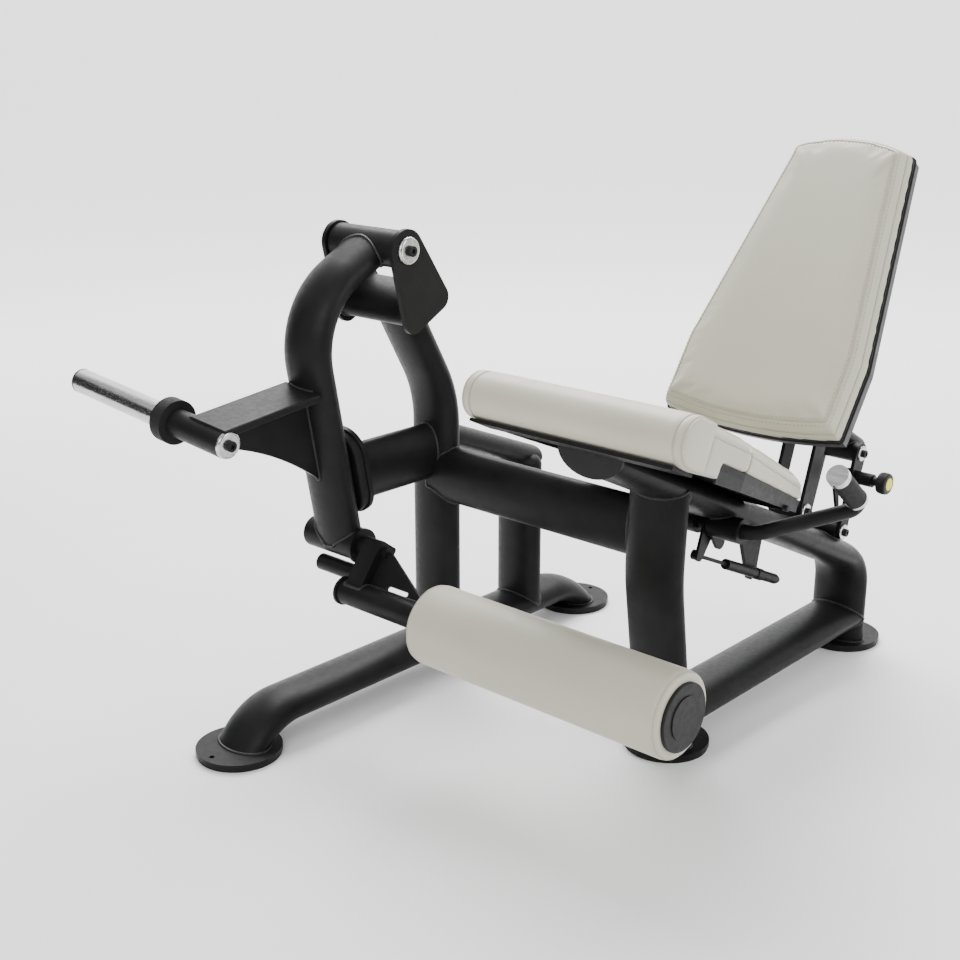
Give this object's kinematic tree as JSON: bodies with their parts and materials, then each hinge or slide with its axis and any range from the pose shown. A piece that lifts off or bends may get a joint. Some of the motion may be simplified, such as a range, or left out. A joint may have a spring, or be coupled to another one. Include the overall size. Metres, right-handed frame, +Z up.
{
  "type": "plate-loaded leg extension machine",
  "caption": "Plate-loaded leg extension bench: oval tube frame, swinging lever arm with weight horn and ankle roller, inclined seat and sliding backrest.",
  "frame": {"origin": "bottom centre of the whole machine's bounding box, on the floor", "axes": "+X to the user's left, +Y to the rear of the machine, +Z up; the user faces -Y"},
  "size_m": [1.3062, 1.46, 1.1428],
  "materials": {
    "black_paint": "satin black powder coat",
    "cream_vinyl": "cream upholstery vinyl over foam",
    "roller_vinyl": "cream vinyl over a foam roll",
    "grey_shell": "moulded dark grey plastic",
    "black_plastic": "moulded black plastic",
    "black_rubber": "matt black rubber",
    "bright_steel": "brushed chrome",
    "plain_steel": "turned steel"
  },
  "bodies": {
    "frame": {"left_base_rail": "black_paint", "right_base_rail": "black_paint", "foot_discs": "black_paint", "foot_pads": "black_rubber", "left_front_upright": "black_paint", "left_rear_upright": "black_paint", "left_brace": "black_paint", "main_cross_beam": "black_paint", "right_front_upright": "black_paint", "seat_tube": "black_paint", "tube_end_caps": "black_plastic", "stop_stub": "black_paint", "stop_plate": "black_paint", "stop_bumper": "black_rubber", "pivot_cross_tube": "black_paint", "pivot_plates": "black_paint", "pivot_shaft": "plain_steel", "pivot_bolts": "bright_steel", "handle_sleeves": "black_paint", "handle_bushes": "black_plastic", "handle_brackets": "black_paint", "link_bosses": "black_paint", "sector_plate": "black_paint", "seat_boards": "black_paint", "seat_pan": "black_plastic", "seat_knee_roll": "cream_vinyl", "seat_pad_middle": "cream_vinyl", "seat_pad_rear": "cream_vinyl"},
    "lever_arm": {"arm_tube": "black_paint", "arm_pivot_housing": "black_paint", "arm_bushes": "black_plastic", "arm_end_housing": "black_paint", "horn_base_tube": "black_paint", "weight_horn_sleeve": "bright_steel", "horn_collar": "black_rubber", "horn_end_bolt": "bright_steel", "horn_bracket": "black_paint", "horn_gusset": "black_paint"},
    "ankle_carrier": {"ankle_shaft": "black_paint", "ankle_link_block": "black_paint", "ankle_gusset": "black_paint", "ankle_tube": "black_paint", "ankle_stop_rod": "black_paint"},
    "ankle_roller": {"roller_pad": "roller_vinyl", "roller_end_caps": "black_plastic"},
    "side_handles": {"handle_tube": "black_paint", "handle_grips": "black_rubber", "handle_trim": "bright_steel"},
    "gas_cylinder": {"gas_cylinder": "black_paint"},
    "gas_rod": {"gas_rod": "black_paint"},
    "rear_links": {"rear_links": "black_paint", "rear_link_axles": "bright_steel", "plunger_barrel": "black_paint"},
    "front_links": {"front_links": "black_paint", "front_link_axles": "bright_steel"},
    "lock_plunger": {"plunger": "black_plastic"},
    "backrest": {"backrest_pad": "cream_vinyl", "backrest_shell": "grey_shell", "backrest_spine": "black_paint", "backrest_pivots": "black_paint"}
  },
  "joints": [
    {"name": "lever_arm_swing", "type": "hinge", "parent": "frame", "child": "lever_arm", "pos_m": [-0.23288, -0.259, 0.95], "axis": [-1, 0, 0], "range_deg": [0, 100]},
    {"name": "ankle_adjust", "type": "hinge", "parent": "lever_arm", "child": "ankle_carrier", "pos_m": [-0.23288, -0.364, 0.37], "axis": [1, 0, 0], "range_deg": [-30, 40]},
    {"name": "roller_spin", "type": "hinge", "parent": "ankle_carrier", "child": "ankle_roller", "pos_m": [0.36312, -0.421, 0.294], "axis": [1, 0, 0], "continuous": true},
    {"name": "handle_lift", "type": "hinge", "parent": "frame", "child": "side_handles", "pos_m": [0.36312, 0.055, 0.438], "axis": [1, 0, 0], "range_deg": [0, 25], "stiffness_Nm_per_rad": 8, "springref_deg": -57.3},
    {"name": "strut_swing", "type": "hinge", "parent": "frame", "child": "gas_cylinder", "pos_m": [0.36312, 0.258, 0.271], "axis": [1, 0, 0], "range_deg": [-5, 1]},
    {"name": "strut_slide", "type": "slide", "parent": "gas_cylinder", "child": "gas_rod", "axis": [0, 0.9093, -0.4161], "range_m": [-0.001, 0.03]},
    {"name": "backrest_adjust", "type": "hinge", "parent": "frame", "child": "rear_links", "pos_m": [0.36312, 0.518, 0.306], "axis": [1, 0, 0], "range_deg": [-9, 27]},
    {"name": "front_link_swing", "type": "hinge", "parent": "frame", "child": "front_links", "pos_m": [0.36312, 0.369, 0.389], "axis": [1, 0, 0], "range_deg": [-10, 28]},
    {"name": "backrest_keep_level", "type": "hinge", "parent": "rear_links", "child": "backrest", "pos_m": [0.36312, 0.575, 0.472], "axis": [1, 0, 0], "range_deg": [-28, 10]},
    {"name": "lock_plunger_pull", "type": "slide", "parent": "rear_links", "child": "lock_plunger", "axis": [1, 0, 0], "range_m": [-0.01, 0]}
  ],
  "couplings": [
    {"joint": "strut_swing", "follows": "handle_lift", "ratio": -0.028},
    {"joint": "strut_slide", "follows": "handle_lift", "m_per_rad": 0.0664},
    {"joint": "front_link_swing", "follows": "backrest_adjust", "ratio": 1},
    {"joint": "backrest_keep_level", "follows": "backrest_adjust", "ratio": -1}
  ]
}
